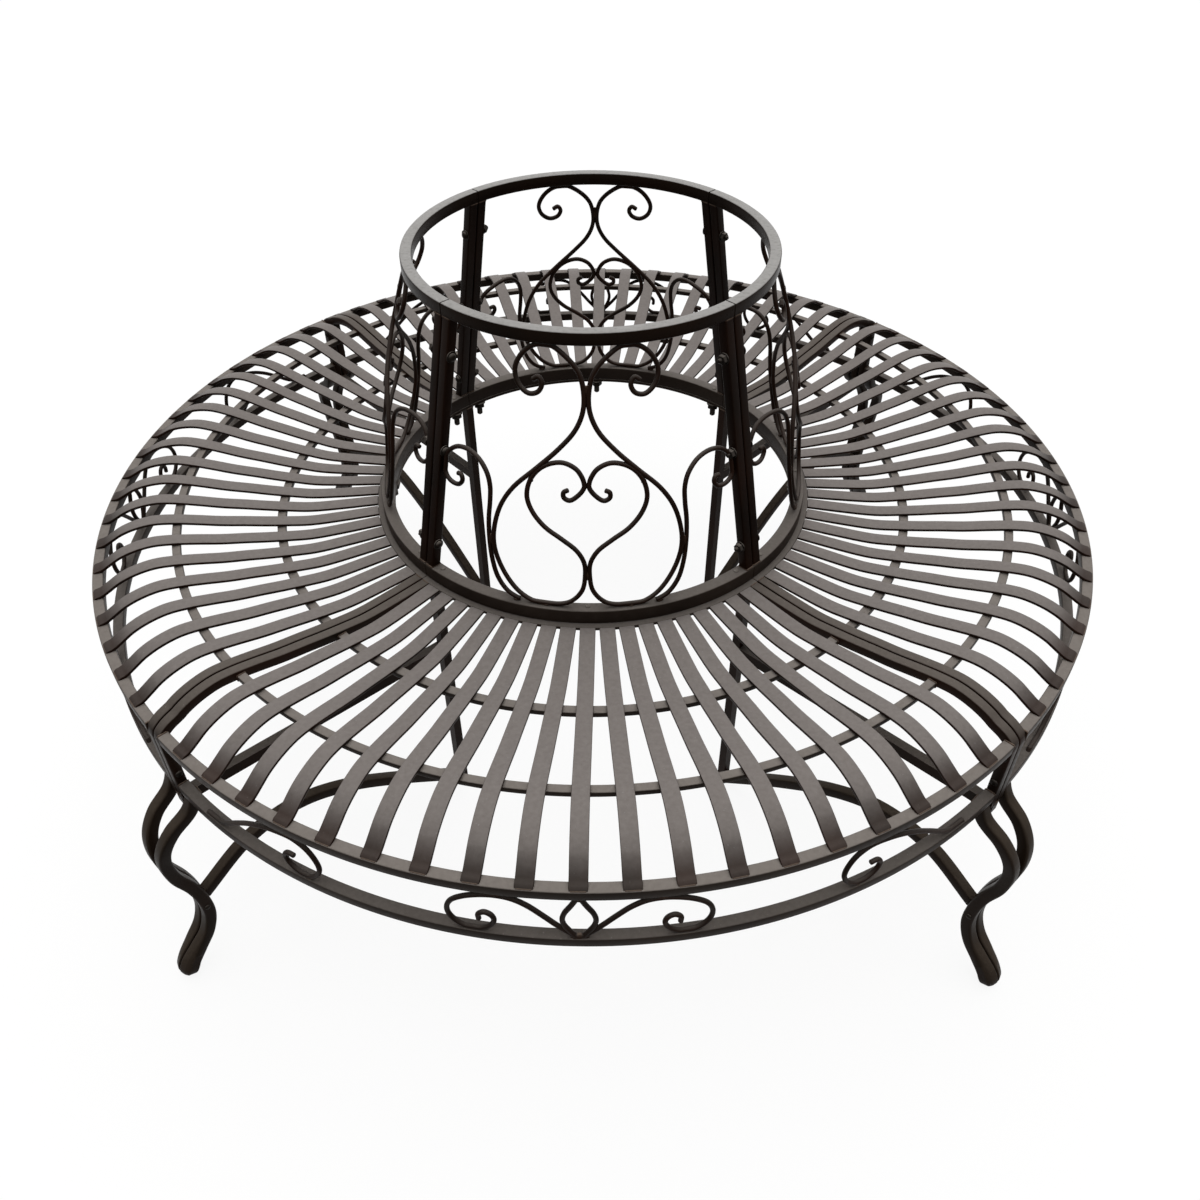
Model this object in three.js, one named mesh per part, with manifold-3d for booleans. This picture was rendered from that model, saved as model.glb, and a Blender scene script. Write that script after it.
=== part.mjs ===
// Circular tree seat with a tapered scrollwork guard, in four quarters bolted round the trunk.
// Millimetres, Z up, the floor at Z = 0 and the trunk's axis at X = Y = 0.
// The corners, where two quarters meet, lie at 45, 135, 225 and 315 degrees.

import * as THREE from "three";
import { mergeVertices } from "three/addons/utils/BufferGeometryUtils.js";
import Module from "manifold-3d";

const wasm = await Module();
wasm.setup();

// Overall sizes
const overallHeight = 804;
const rimRadius = 700;
const clearance = 0.3;
const weldBite = 0.4;

// Square bar of the posts, legs, stretchers and end bars
const barWidth = 13;
const seatSeam = 2;

// Seat: inner ring, slats, rim, the two arcs that carry the slats, and the end bars
const ringOuterRadius = 315;
const ringWidth = 25;
const ringThickness = 5;
const ringTop = 436;
const slatWidth = 20;
const slatThickness = 4;
const slatEndInset = 2;
const crownRise = 34;
const rimWidth = 14;
const rimDepth = 14;
const supportDepth = 8;
const innerSupportWidth = 12;
const outerSupportWidth = 11;
const endBarDepth = 14;

// Guard: rails, posts and scroll rods
const guardRailWidth = 17;
const guardRailHeight = 20.7;
const guardRailInset = 7.7;
const topRailWidth = 15;
const topRailHeight = 16;
const topRailOuterRadius = 237.3;
const rodRadius = 3;

// Apron under the rim
const apronHeight = 74.4;
const apronRailWidth = 14;
const apronRailDepth = 14;
const apronRodInset = 1;
const stileDrop = 14;

// Legs and the bearers under the seat
const footSplay = 80;
const legHeadInset = 11;
const legHeadSpread = 25;
const bearerDepth = 16;
const bearerDrop = 18;

// Counts
const slatCount = 19;
const rimSegments = 17;
const plainSegments = 10;

// Places of the two slat supports between the ring and the slats' outer ends
const innerSupportShare = 0.355;
const outerSupportShare = 0.71;

// Where the stretcher meets the cabriole legs: share of their reach; its heights: shares of theirs
const ankleReachShare = 0.41;
const stretcherFootShare = 0.036;
const stretcherArchShare = 0.542;

// Top line of a slat: share of its length, share of the crown's rise
const slatCrownShares = [
  [0, 0],
  [0.27, -0.03],
  [0.6, 0.65],
  [0.78, 1],
  [0.9, 0.72],
  [0.965, 0.28],
  [1, 0.2],
];

// Cabriole leg, from the foot up: shares of its height, of the reach from head to foot,
// and of the sideways spread from foot to head. The first and last stations run past the cuts.
const cabrioleShares = [
  [-0.05, 1.05, 0],
  [0.057, 0.923, 0],
  [0.131, 0.725, 0],
  [0.203, 0.522, 0],
  [0.295, 0.407, 0],
  [0.4, 0.412, 0],
  [0.5, 0.489, 0],
  [0.608, 0.626, 0.07],
  [0.721, 0.67, 0.29],
  [0.801, 0.604, 0.56],
  [0.87, 0.429, 0.78],
  [0.935, 0.121, 0.94],
  [1.05, -0.06, 1.02],
];

// Stretcher, from the inner leg to the ankle: shares of its run and of its rise to the arch
const stretcherShares = [
  [0, 0],
  [0.12, 0.24],
  [0.26, 0.505],
  [0.43, 0.79],
  [0.58, 0.96],
  [0.7, 1],
  [0.83, 0.94],
  [1, 0.69],
];

// Guard scroll, right half: shares of the half width and of the height of the panel.
// It starts with the curl in the heart and ends with the curl under the top rail.
const guardScrollShares = [
  [0.11, 0.477],
  [0.145, 0.455],
  [0.1, 0.43],
  [0.012, 0.485],
  [0.07, 0.561],
  [0.2, 0.583],
  [0.335, 0.53],
  [0.375, 0.437],
  [0.297, 0.34],
  [0.14, 0.268],
  [0.025, 0.197],
  [0.004, 0.129],
  [0.04, 0.05],
  [0.2, 0],
  [0.41, 0.03],
  [0.53, 0.11],
  [0.6, 0.209],
  [0.587, 0.32],
  [0.52, 0.419],
  [0.33, 0.548],
  [0.13, 0.659],
  [0.03, 0.758],
  [0.012, 0.844],
  [0.1, 0.945],
  [0.32, 1],
  [0.475, 0.935],
  [0.47, 0.856],
  [0.36, 0.815],
  [0.28, 0.85],
  [0.35, 0.875],
];

// Side rod of the guard: a hook at the post, then down beside the onion to the rail
const guardSideShares = [
  [0.88, 0.437],
  [0.84, 0.42],
  [0.9, 0.391],
  [1, 0.431],
  [0.96, 0.511],
  [0.84, 0.555],
  [0.69, 0.52],
  [0.628, 0.42],
  [0.623, 0.26],
  [0.59, 0.1],
  [0.5, 0.025],
  [0.38, 0],
];

// Apron scrolls, right half: shares of the half width and of the height between the rails
const apronScrollShares = [
  [0.002, -0.1],
  [0.094, 0.76],
  [0.153, 1],
  [0.217, 0.91],
  [0.257, 0.63],
  [0.26, 0.26],
  [0.225, 0],
  [0.183, 0.1],
  [0.17, 0.36],
  [0.195, 0.46],
];
const lozengeShares = [
  [0.003, 1],
  [0.027, 0.62],
  [0.027, 0.3],
  [0.01, -0.04],
];
const endScrollShares = [
  [0.903, -0.1],
  [0.841, 0.06],
  [0.735, 0.63],
  [0.61, 0.98],
  [0.56, 0.72],
  [0.552, 0.34],
  [0.582, 0],
  [0.625, 0.12],
  [0.635, 0.36],
  [0.61, 0.46],
];

// Derived places
const slatPitch = Math.PI / 2 / (slatCount + 1);
const cornerAngle = Math.PI / 4;
const legSpread = seatSeam / 2 + barWidth / 2;
const endBarReach = seatSeam / 2 + barWidth;
const ringInnerRadius = ringOuterRadius - ringWidth;
const ringBottom = ringTop - ringThickness;
const slatInnerRadius = ringOuterRadius + clearance;
const slatOuterRadius = rimRadius - slatEndInset;
const guardRailOuterRadius = ringOuterRadius - guardRailInset;
const guardRailBottom = ringTop + clearance;
const guardRailTop = guardRailBottom + guardRailHeight;
const topRailBottom = overallHeight - topRailHeight;
const postFootRadius = guardRailOuterRadius - guardRailWidth / 2;
const postHeadRadius = topRailOuterRadius - topRailWidth / 2;
const rimTop = slatUndersideAt(rimRadius - rimWidth / 2) + weldBite;
const rimBottom = rimTop - rimDepth;
const apronRailTop = rimBottom - apronHeight;
const apronRailBottom = apronRailTop - apronRailDepth;
const stileFoot = apronRailBottom - stileDrop;
const innerLegRadius = ringInnerRadius + barWidth / 2;
const bearerOuterHeight = stileFoot - clearance - bearerDepth / 2;
const bearerInnerHeight = bearerOuterHeight - bearerDrop;
const footRadius = rimRadius + footSplay;
const legHeadRadius = rimRadius - legHeadInset;
const legHeadHeight = apronRailBottom - clearance;
const ankleRadius = legHeadRadius + (footRadius - legHeadRadius) * ankleReachShare;
const stretcherFootHeight = legHeadHeight * stretcherFootShare;
const stretcherArch = legHeadHeight * stretcherArchShare;

// Dark powder-coated steel
function coatedSteel() {
  return new THREE.MeshStandardMaterial({ color: 0x2c2825, roughness: 0.5, metalness: 0.35 });
}

// Solids for joining and cutting
function toSolid(geometry) {
  const plain = geometry.clone();
  plain.deleteAttribute("normal");
  plain.deleteAttribute("uv");
  const merged = mergeVertices(plain);
  const mesh = new wasm.Mesh({
    numProp: 3,
    vertProperties: merged.attributes.position.array,
    triVerts: new Uint32Array(merged.index.array),
  });
  return new wasm.Manifold(mesh);
}

function toGeometry(solid) {
  const mesh = solid.getMesh();
  const geometry = new THREE.BufferGeometry();
  geometry.setAttribute("position", new THREE.BufferAttribute(mesh.vertProperties, 3));
  geometry.setIndex(new THREE.BufferAttribute(mesh.triVerts, 1));
  return geometry.toNonIndexed();
}

function joined(geometries) {
  const solids = geometries.map(toSolid);
  return toGeometry(solids.reduce((whole, piece) => whole.add(piece)));
}

function kept(geometry, region) {
  return toGeometry(toSolid(geometry).intersect(toSolid(region)));
}

// A box that spans from one corner point to the other
function boxBetween(low, high) {
  const size = high.clone().sub(low);
  const middle = low.clone().add(high).multiplyScalar(1 / 2);
  return new THREE.BoxGeometry(size.x, size.y, size.z).translate(middle.x, middle.y, middle.z);
}

// A bar that follows a quarter of a circle, cut parallel to the corners' planes
function arcBar(innerRadius, outerRadius, bottom, top, endOffset, segments) {
  const outerHalf = cornerAngle - Math.asin(endOffset / outerRadius);
  const innerHalf = cornerAngle - Math.asin(endOffset / innerRadius);
  const shape = new THREE.Shape();
  shape.absarc(0, 0, outerRadius, -outerHalf, outerHalf, false);
  shape.absarc(0, 0, innerRadius, innerHalf, -innerHalf, true);
  const options = { depth: top - bottom, curveSegments: segments / 2, bevelEnabled: false };
  return new THREE.ExtrudeGeometry(shape, options).translate(0, 0, bottom);
}

// A side view in the plane of radius and height, extruded sideways about an offset
function sidePlate(outline, width, offset) {
  const options = { depth: width, bevelEnabled: false };
  const plate = new THREE.ExtrudeGeometry(new THREE.Shape(outline), options);
  return plate.rotateX(Math.PI / 2).translate(0, offset + width / 2, 0);
}

// Outline of a bar round a line, with mitred bends
function barOutline(line, above, below) {
  const upper = line.map((point, index) => mitred(line, index, above));
  const lower = line.map((point, index) => mitred(line, index, -below));
  return [...upper, ...lower.reverse()];
}

function mitred(line, index, distance) {
  const last = line.length - 1;
  const before = leftOf(line[Math.max(index - 1, 0)], line[Math.max(index, 1)]);
  const after = leftOf(line[Math.min(index, last - 1)], line[Math.min(index + 1, last)]);
  const normal = before.clone().add(after).normalize();
  return line[index].clone().addScaledVector(normal, distance / normal.dot(after));
}

function leftOf(from, to) {
  const along = to.clone().sub(from).normalize();
  return new THREE.Vector2(-along.y, along.x);
}

// A smooth path through stations, read station by station
class StationPath extends THREE.Curve {
  constructor(stations) {
    super();
    this.spline = new THREE.CatmullRomCurve3(stations);
  }

  getPoint(t, target) {
    return this.spline.getPoint(t, target);
  }

  getPointAt(u, target) {
    return this.getPoint(u, target);
  }

  getTangentAt(u, target) {
    return this.getTangent(u, target);
  }
}

function squareSection(width) {
  const half = width / 2;
  return new THREE.Shape([
    new THREE.Vector2(-half, -half),
    new THREE.Vector2(half, -half),
    new THREE.Vector2(half, half),
    new THREE.Vector2(-half, half),
  ]);
}

// A square section with the area of the round rod
function rodSection() {
  return squareSection(rodRadius * Math.sqrt(Math.PI));
}

function barAlong(section, stations) {
  const steps = stations.length - 1;
  const options = { steps, extrudePath: new StationPath(stations), bevelEnabled: false };
  return new THREE.ExtrudeGeometry(section, options);
}

// Largest angle from the middle of a quarter at which a rod clears the upright beside it
function rodLimit(radius, uprightReach) {
  return cornerAngle - Math.asin((uprightReach + clearance + rodRadius) / radius);
}

// Radius of the posts' centre line at a height
function guardRadius(height) {
  const share = (height - guardRailTop) / (topRailBottom - guardRailTop);
  return postFootRadius + (postHeadRadius - postFootRadius) * share;
}

function guardStation([across, up], side) {
  const low = guardRailTop + rodRadius - weldBite;
  const high = topRailBottom - clearance - rodRadius;
  const height = low + (high - low) * up;
  const radius = guardRadius(height);
  const angle = side * across * rodLimit(radius, clearance / 2 + barWidth);
  return new THREE.Vector3(radius * Math.cos(angle), radius * Math.sin(angle), height);
}

function apronStation([across, up], side) {
  const low = apronRailTop + rodRadius - weldBite;
  const high = rimBottom - clearance - rodRadius;
  const radius = rimRadius - apronRodInset - rodRadius;
  const angle = side * across * rodLimit(radius, endBarReach);
  const height = low + (high - low) * up;
  return new THREE.Vector3(radius * Math.cos(angle), radius * Math.sin(angle), height);
}

// Slats
function slatTopLine() {
  const length = slatOuterRadius - slatInnerRadius;
  return slatCrownShares.map(
    ([along, rise]) => new THREE.Vector2(slatInnerRadius + length * along, ringTop + crownRise * rise),
  );
}

// Height of the slats' underside at a radius
function slatUndersideAt(radius) {
  const top = slatTopLine();
  const line = top.map((point, index) => mitred(top, index, -slatThickness));
  const next = line.findIndex((point) => point.x >= radius);
  const share = (radius - line[next - 1].x) / (line[next].x - line[next - 1].x);
  return line[next - 1].y + (line[next].y - line[next - 1].y) * share;
}

function slat(index) {
  const plate = sidePlate(barOutline(slatTopLine(), 0, slatThickness), slatWidth, 0);
  return plate.rotateZ((index - (slatCount - 1) / 2) * slatPitch);
}

function slatsWithRim() {
  const endOffset = endBarReach + clearance;
  const rim = arcBar(rimRadius - rimWidth, rimRadius, rimBottom, rimTop, endOffset, rimSegments);
  const pieces = [rim];
  for (let index = 0; index < slatCount; index += 1) {
    pieces.push(slat(index));
  }
  return joined(pieces);
}

function slatSupport(share, width) {
  const radius = slatInnerRadius + (slatOuterRadius - slatInnerRadius) * share;
  const inner = radius - width / 2;
  const nearest = inner * Math.cos(cornerAngle / plainSegments);
  const top = slatUndersideAt(nearest) - clearance;
  const endOffset = endBarReach + clearance;
  return arcBar(inner, radius + width / 2, top - supportDepth, top, endOffset, plainSegments);
}

function innerRing() {
  return arcBar(ringInnerRadius, ringOuterRadius, ringBottom, ringTop, clearance / 2, plainSegments);
}

// End bar of a quarter: it follows the slats and turns down at the rim as the end stile
function endBar(side) {
  const line = slatTopLine().slice(0, -2);
  line.push(new THREE.Vector2(rimRadius, rimTop));
  line.push(new THREE.Vector2(rimRadius, stileFoot));
  return sidePlate(barOutline(line, 0, endBarDepth), barWidth, side * legSpread);
}

// Guard
function topRail() {
  const inner = topRailOuterRadius - topRailWidth;
  return arcBar(inner, topRailOuterRadius, topRailBottom, overallHeight, clearance / 2, plainSegments);
}

function guardPost(side) {
  const rise = topRailBottom - guardRailTop - 2 * clearance;
  const lean = postFootRadius - postHeadRadius;
  const halfDepth = (barWidth / 2) * Math.hypot(1, lean / rise);
  const foot = guardRailTop + clearance;
  const head = topRailBottom - clearance;
  const outline = [
    new THREE.Vector2(postFootRadius - halfDepth, foot),
    new THREE.Vector2(postFootRadius + halfDepth, foot),
    new THREE.Vector2(postHeadRadius + halfDepth, head),
    new THREE.Vector2(postHeadRadius - halfDepth, head),
  ];
  return sidePlate(outline, barWidth, side * (clearance / 2 + barWidth / 2));
}

function guardScroll() {
  const inner = guardRailOuterRadius - guardRailWidth;
  const pieces = [
    arcBar(inner, guardRailOuterRadius, guardRailBottom, guardRailTop, clearance / 2, plainSegments),
  ];
  for (const shares of [guardScrollShares, guardSideShares]) {
    for (const side of [-1, 1]) {
      pieces.push(barAlong(rodSection(), shares.map((share) => guardStation(share, side))));
    }
  }
  return joined(pieces);
}

// Apron
function apronScroll() {
  const inner = rimRadius - apronRailWidth;
  const endOffset = endBarReach + clearance;
  const pieces = [
    arcBar(inner, rimRadius, apronRailBottom, apronRailTop, endOffset, rimSegments),
  ];
  for (const shares of [apronScrollShares, lozengeShares, endScrollShares]) {
    for (const side of [-1, 1]) {
      pieces.push(barAlong(rodSection(), shares.map((share) => apronStation(share, side))));
    }
  }
  return joined(pieces);
}

// Legs
function cabrioleLeg(side) {
  const stations = cabrioleShares.map(([up, reach, spread]) => {
    const radius = legHeadRadius + (footRadius - legHeadRadius) * reach;
    const sideways = side * (legSpread + (legHeadSpread - legSpread) * spread);
    return new THREE.Vector3(radius, sideways, legHeadHeight * up);
  });
  const reach = footRadius + legHeadRadius;
  const slab = boxBetween(new THREE.Vector3(0, -reach, 0), new THREE.Vector3(reach, reach, legHeadHeight));
  return kept(barAlong(squareSection(barWidth), stations), slab);
}

function innerLeg() {
  const half = barWidth / 2;
  const post = [
    new THREE.Vector2(innerLegRadius, 0),
    new THREE.Vector2(innerLegRadius, ringBottom - clearance),
  ];
  const bearer = [
    new THREE.Vector2(innerLegRadius + half - weldBite, bearerInnerHeight),
    new THREE.Vector2(rimRadius - apronRailWidth - bearerDepth, bearerOuterHeight),
    new THREE.Vector2(rimRadius, bearerOuterHeight),
  ];
  return joined([
    sidePlate(barOutline(post, half, half), barWidth, 0),
    sidePlate(barOutline(bearer, bearerDepth / 2, bearerDepth / 2), barWidth, 0),
  ]);
}

function stretcher() {
  const half = barWidth / 2;
  const start = innerLegRadius + half + clearance;
  const end = ankleRadius - half - clearance;
  const rise = stretcherArch - stretcherFootHeight;
  const line = stretcherShares.map(
    ([along, up]) => new THREE.Vector2(start + (end - start) * along, stretcherFootHeight + rise * up),
  );
  const first = line[0].clone().multiplyScalar(2).sub(line[1]);
  const last = line.at(-1).clone().multiplyScalar(2).sub(line.at(-2));
  const bar = sidePlate(barOutline([first, ...line, last], half, half), barWidth, 0);
  const slab = boxBetween(
    new THREE.Vector3(start, -barWidth, -stretcherArch),
    new THREE.Vector3(end, barWidth, stretcherArch * 2),
  );
  return kept(bar, slab);
}

// The whole seat
const treeSeat = new THREE.Group();
treeSeat.name = "circular_tree_seat";

function place(name, geometry, azimuth) {
  const mesh = new THREE.Mesh(geometry, coatedSteel());
  mesh.name = name;
  mesh.rotation.z = azimuth;
  treeSeat.add(mesh);
}

const quarterNames = ["right", "rear", "left", "front"];
quarterNames.forEach((quarter, index) => {
  const azimuth = (index * Math.PI) / 2;
  place(`${quarter}_guard_top_rail`, topRail(), azimuth);
  place(`${quarter}_guard_scroll_panel`, guardScroll(), azimuth);
  place(`${quarter}_seat_inner_ring`, innerRing(), azimuth);
  place(`${quarter}_seat_slats`, slatsWithRim(), azimuth);
  place(`${quarter}_slat_support_inner`, slatSupport(innerSupportShare, innerSupportWidth), azimuth);
  place(`${quarter}_slat_support_outer`, slatSupport(outerSupportShare, outerSupportWidth), azimuth);
  place(`${quarter}_apron_scroll_panel`, apronScroll(), azimuth);
  for (const [end, side] of [["left", 1], ["right", -1]]) {
    const corner = azimuth - side * cornerAngle;
    place(`${quarter}_guard_post_${end}`, guardPost(side), corner);
    place(`${quarter}_end_bar_${end}`, endBar(side), corner);
    place(`${quarter}_cabriole_leg_${end}`, cabrioleLeg(side), corner);
  }
});

const cornerNames = ["rear_right", "rear_left", "front_left", "front_right"];
cornerNames.forEach((corner, index) => {
  const azimuth = cornerAngle + (index * Math.PI) / 2;
  place(`${corner}_inner_leg`, innerLeg(), azimuth);
  place(`${corner}_stretcher`, stretcher(), azimuth);
});

export default treeSeat;
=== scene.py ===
import math

import bpy
import numpy as np
from mathutils import Matrix, Vector


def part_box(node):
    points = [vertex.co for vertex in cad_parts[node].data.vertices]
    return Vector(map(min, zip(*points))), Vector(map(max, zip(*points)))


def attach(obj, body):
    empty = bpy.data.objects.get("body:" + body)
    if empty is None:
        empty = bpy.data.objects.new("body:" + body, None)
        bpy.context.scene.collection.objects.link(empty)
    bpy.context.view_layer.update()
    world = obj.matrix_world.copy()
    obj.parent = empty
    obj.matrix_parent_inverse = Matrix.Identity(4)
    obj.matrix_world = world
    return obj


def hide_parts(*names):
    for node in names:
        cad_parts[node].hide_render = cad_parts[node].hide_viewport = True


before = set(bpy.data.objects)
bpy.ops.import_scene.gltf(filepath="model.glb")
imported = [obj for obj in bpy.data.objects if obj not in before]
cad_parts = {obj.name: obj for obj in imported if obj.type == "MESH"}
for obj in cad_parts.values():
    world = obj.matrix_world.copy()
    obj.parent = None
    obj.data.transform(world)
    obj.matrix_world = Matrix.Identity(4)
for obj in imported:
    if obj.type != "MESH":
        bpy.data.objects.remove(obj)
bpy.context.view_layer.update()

# Sizes in millimetres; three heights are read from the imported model
MM = 1000.0
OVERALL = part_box("front_guard_top_rail")[1].z * MM
RIM_R = 700.0
CLEAR, BITE = 0.3, 0.4
BAR, SEAM = 13.0, 2.0

# Seat: ring, slats, rim, the supports' places (share of the slat) and widths, and the end bars
RING_OUT, RING_W, RING_T = 315.0, 25.0, 5.0
RING_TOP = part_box("front_seat_inner_ring")[1].z * MM
SLATS, SLAT_W, SLAT_T, SLAT_INSET, CROWN = 19, 20.0, 4.0, 2.0, 34.0
SLAT_EDGE, SLAT_EASE, SLAT_END_PROUD, SLAT_END_SHARE = 0.9, 3.2, 0.7, 0.96
RIM_W, RIM_D = 14.0, 14.0
RIM_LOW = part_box("front_seat_slats")[0].z * MM
SUPPORTS = {"inner": (0.355, 12.0), "outer": (0.71, 11.0)}
SUPPORT_D, END_D = 8.0, 14.0
END_BEND = [(-14, 8), (-3, -1), (0, -10)]
END_BEND_START, END_TAIL_START, END_EDGE = 30.0, 14.0, 1.4

# Guard: rails, rods, posts, how far its rods bow out, and the eye that they were measured from
RAIL_W, RAIL_H, RAIL_INSET = 17.0, 20.7, 7.7
TOP_W, TOP_H, TOP_OUT, TOP_SEAM = 15.0, 16.0, 237.3, 0.35
ROD = 3.0
POST_BAR, POST_SEAM, POST_EDGE = 13.6, 1.4, 1.8
BOW, BOW_FREE, BOW_HELD, BOW_POWER = 12.5, 118.0, 172.0, 0.8
EYE_OUT, EYE_HIGH = 1284.1447, 1366.8132

# Apron
APRON_H, APRON_W, APRON_D, APRON_INSET = 74.4, 14.0, 14.0, 1.0
STILE_DROP = 14.0
END_ROD_START, END_ROD_SINK = 470.0, 6.0

# Legs and stretchers; the toe is the round pad that a pair of legs ends in
FOOT_SPLAY, HEAD_INSET, HEAD_SPREAD = 80.0, 11.0, 25.0
LEG_BAR, LEG_EDGE, FOOT_SEAM = 16.0, 3.2, 0.3
TOE_ROUND, TOE_DEEP, TOE_TALL, TOE_HEIGHT = 18.5, 14.0, 15.0, 68.0
TOE_FULL, TOE_TURNS, TOE_POWER, SOLE = 4.0, (80, 62, 46, 31, 15), 0.85, 0.5
STRETCH_BAR, STRETCH_EDGE = 15.4, 2.2
ANKLE_SHARE, STRETCH_FOOT_SHARE, STRETCH_ARCH_SHARE = 0.41, 0.036, 0.542

# Bolts
POST_BOLT_SHARES = (0.1, 0.5, 0.86)
BOLT_ASIDE, BOLT_INSET, RING_BOLT_SCALE = 24.0, 7.0, 1.4
STILE_BOLTS = (RIM_LOW - 14.0, RIM_LOW - 58.0)
ANKLE_BOLT = 120.0
WASHER_R, WASHER_T, NUT_ACROSS, NUT_H = 7.2, 1.3, 11.0, 5.6

# Worked out from the sizes above
PITCH = math.pi / 2 / (SLATS + 1)
CORNER = math.pi / 4
SPREAD = SEAM / 2 + BAR / 2
REACH = SEAM / 2 + BAR
RING_IN = RING_OUT - RING_W
SLAT_IN = RING_OUT + CLEAR
SLAT_OUT = RIM_R - SLAT_INSET
RIM_TOP = RIM_LOW + RIM_D
RAIL_OUT = RING_OUT - RAIL_INSET
RAIL_LOW = RING_TOP + CLEAR
RAIL_TOP = RAIL_LOW + RAIL_H
TOP_LOW = OVERALL - TOP_H
POST_FOOT_R = RAIL_OUT - RAIL_W / 2
POST_HEAD_R = TOP_OUT - TOP_W / 2
APRON_TOP = RIM_LOW - APRON_H
APRON_LOW = APRON_TOP - APRON_D
STILE_FOOT = APRON_LOW - STILE_DROP
INNER_LEG_R = RING_IN + BAR / 2
FOOT_R = RIM_R + FOOT_SPLAY
HEAD_R = RIM_R - HEAD_INSET
HEAD_Z = APRON_LOW - CLEAR
ANKLE_R = HEAD_R + (FOOT_R - HEAD_R) * ANKLE_SHARE
STRETCH_FOOT = HEAD_Z * STRETCH_FOOT_SHARE
STRETCH_ARCH = HEAD_Z * STRETCH_ARCH_SHARE

# Slat's top line: share of its length, share of the crown's rise
CROWN_SHARES = [
    (0.0, 0.0), (0.13, -0.045), (0.25, -0.04), (0.33, 0.08), (0.41, 0.23),
    (0.48, 0.38), (0.56, 0.54), (0.645, 0.76), (0.72, 0.93), (0.785, 1.0),
    (0.85, 0.9), (0.905, 0.69), (0.945, 0.43), (0.975, 0.245), (1.0, 0.19),
]
# Cabriole leg, from the foot up: shares of its height, of its reach and of its sideways spread
LEG_SHARES = [
    (-0.05, 1.05, 0), (0.057, 0.923, 0), (0.131, 0.725, 0), (0.203, 0.522, 0),
    (0.295, 0.407, 0), (0.4, 0.412, 0), (0.5, 0.489, 0), (0.608, 0.626, 0.07),
    (0.721, 0.67, 0.29), (0.801, 0.604, 0.56), (0.87, 0.429, 0.78), (0.935, 0.121, 0.94),
    (1.05, -0.06, 1.02),
]
# Stretcher, from the inner leg out: shares of its length and of its rise
STRETCHER_SHARES = [
    (0, 0), (0.12, 0.24), (0.26, 0.505), (0.43, 0.79), (0.58, 0.96), (0.7, 1), (0.83, 0.94),
    (1, 0.69),
]
# Rods as measured on the photograph: (distance along the arc from the quarter's middle, height)
GUARD_LINE = [
    (22.5, 614), (27.5, 611), (27.5, 604.5), (20.5, 601), (9.5, 608.5), (3, 618), (3.2, 624),
    (6, 632), (13, 641.5), (27, 648), (42, 646), (57, 637), (69, 620), (73, 600), (67, 582),
    (52, 564), (31, 549.5), (13, 535), (4, 519), (2.9, 501), (7, 480), (22, 464), (44, 459),
    (67, 459), (87, 468), (104, 486), (116.5, 510), (120.5, 530), (118, 553), (108, 582),
    (90, 609), (60, 638), (33, 664), (13, 688), (4, 710), (2.9, 732), (8, 754), (22, 772),
    (42, 785), (60, 782), (75, 769), (82.5, 752), (78.5, 736), (67, 727), (55.5, 730),
    (50.5, 740), (54.5, 747.5), (61, 744),
]
SIDE_LINE = [
    (171.5, 603), (166, 602.5), (164.5, 596), (170.5, 589), (181, 587.5), (190.5, 591.5),
    (195, 603), (192, 616), (182, 629), (168, 637.5), (152, 639), (137, 633), (126, 619),
    (122, 603), (123, 583), (126, 560), (126.5, 530), (123.5, 503), (117, 482), (104, 466),
    (88, 459),
]
APRON_LINE = [
    (3, 352), (22, 372), (38, 391), (54, 408), (70, 418), (88, 420.5), (106, 417), (122, 409.5),
    (134, 399), (139.5, 385), (138, 371), (130, 359.5), (117, 353), (104, 355), (93.5, 363),
    (89.5, 373.5), (92.5, 382.5), (99.5, 386), (106, 380.5), (106, 372),
]
LOZENGE_LINE = [
    (2.5, 423), (8, 411), (15, 397), (17.5, 385), (15.5, 374), (10, 363), (5, 354), (4, 350),
]
END_LINE = [
    (478, 347), (458, 351), (438, 360), (410, 382), (388, 398), (366, 410), (342, 418),
    (318, 420), (302, 411), (293, 395), (291, 379), (298, 364), (312, 354), (326, 356.5),
    (336, 365.5), (338.5, 376), (333, 384), (324, 384),
]
# Lumps of weld on the rods: distance along the arc, height, half sizes (out, along, up)
GUARD_WELDS = [
    (0, 501, (2.6, 3.4, 7.0)), (0, 734, (2.6, 3.4, 8.0)), (68, 622, (2.2, 3.4, 3.4)),
    (123.5, 532, (2.6, 3.0, 9.0)), (55, 458, (3.2, 8.0, 2.0)), (92, 458, (3.2, 5.0, 2.2)),
    (50, 787, (3.2, 8.0, 2.0)), (194.5, 604, (2.6, 2.4, 6.5)),
]
APRON_WELDS = [
    (0, 353, (3.2, 10.0, 4.5)), (0, 423, (3.2, 4.6, 2.2)), (86, 423.5, (3.2, 8.0, 2.0)),
    (116, 350.5, (3.2, 7.0, 2.0)), (322, 423.5, (3.2, 8.0, 2.0)), (312, 351, (3.2, 6.0, 2.0)),
    (466, 350.5, (3.2, 8.0, 2.2)),
]


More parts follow.
